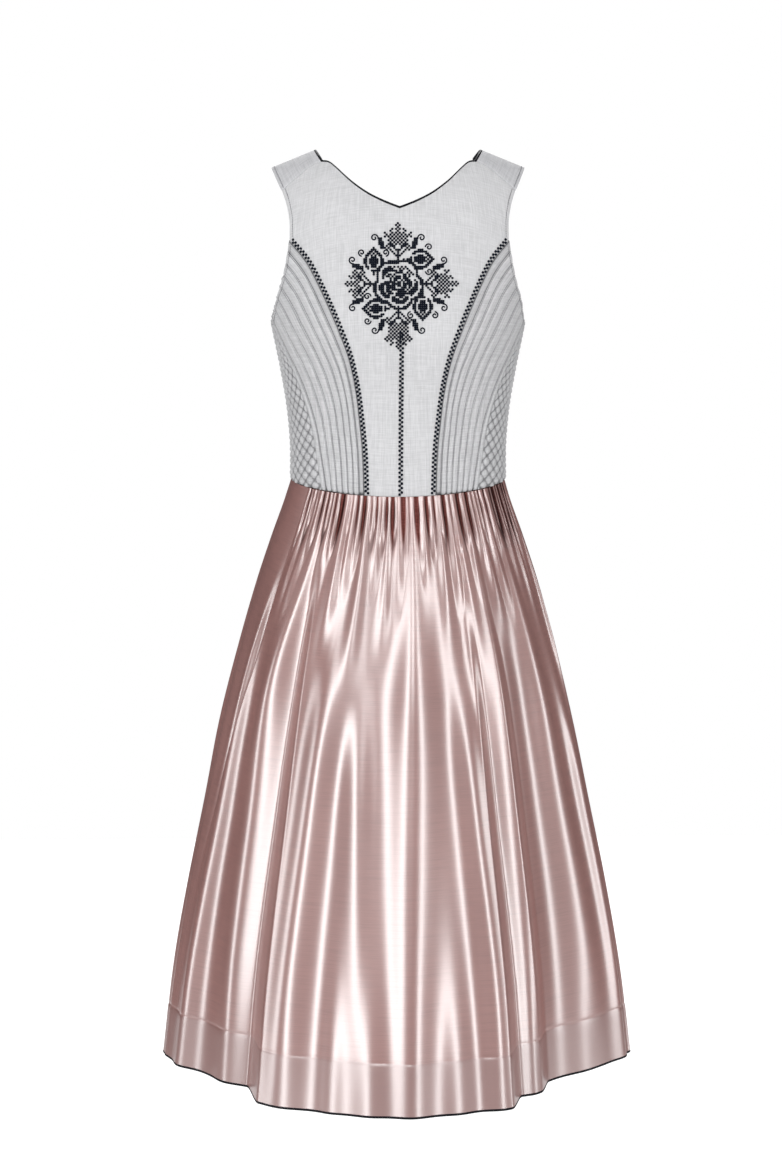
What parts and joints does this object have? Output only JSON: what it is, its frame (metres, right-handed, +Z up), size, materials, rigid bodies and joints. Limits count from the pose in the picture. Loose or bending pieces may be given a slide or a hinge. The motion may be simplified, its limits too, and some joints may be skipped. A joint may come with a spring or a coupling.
{
  "type": "dirndl",
  "caption": "Sleeveless dirndl dress, filled out as worn: grey linen bodice with quilted sides, V neckline with black piping, and a gathered rose satin skirt to mid-calf.",
  "frame": {"origin": "midway between the two shoulder straps, at the height of their neck edges, where the wearer's shoulders carry the dress", "axes": "+Z up, -Y out of the dress's front, +X to the right as seen from the front"},
  "size_m": [0.5596, 0.5136, 1.0802],
  "materials": {
    "linen": "plain-woven pale grey linen with faint slubs",
    "quilted_linen": "grey linen quilted over a thin wadding, in channels and diamonds",
    "rose_satin": "glossy dusty rose satin with fine crosswise ribs",
    "black_piping": "black corded edging",
    "dark_thread": "dark navy cotton thread in cross-stitch",
    "grey_thread": "grey sewing thread"
  },
  "bodies": {
    "root": {"front_centre": "linen", "side_front_right": "quilted_linen", "side_front_left": "quilted_linen", "side_right": "quilted_linen", "side_left": "quilted_linen", "back_right": "linen", "back_left": "linen", "shoulder_yoke_right": "linen", "shoulder_yoke_left": "linen", "neck_piping": "black_piping", "skirt_front": "rose_satin", "skirt_back": "rose_satin", "hem_edging": "black_piping"}
  },
  "joints": []
}
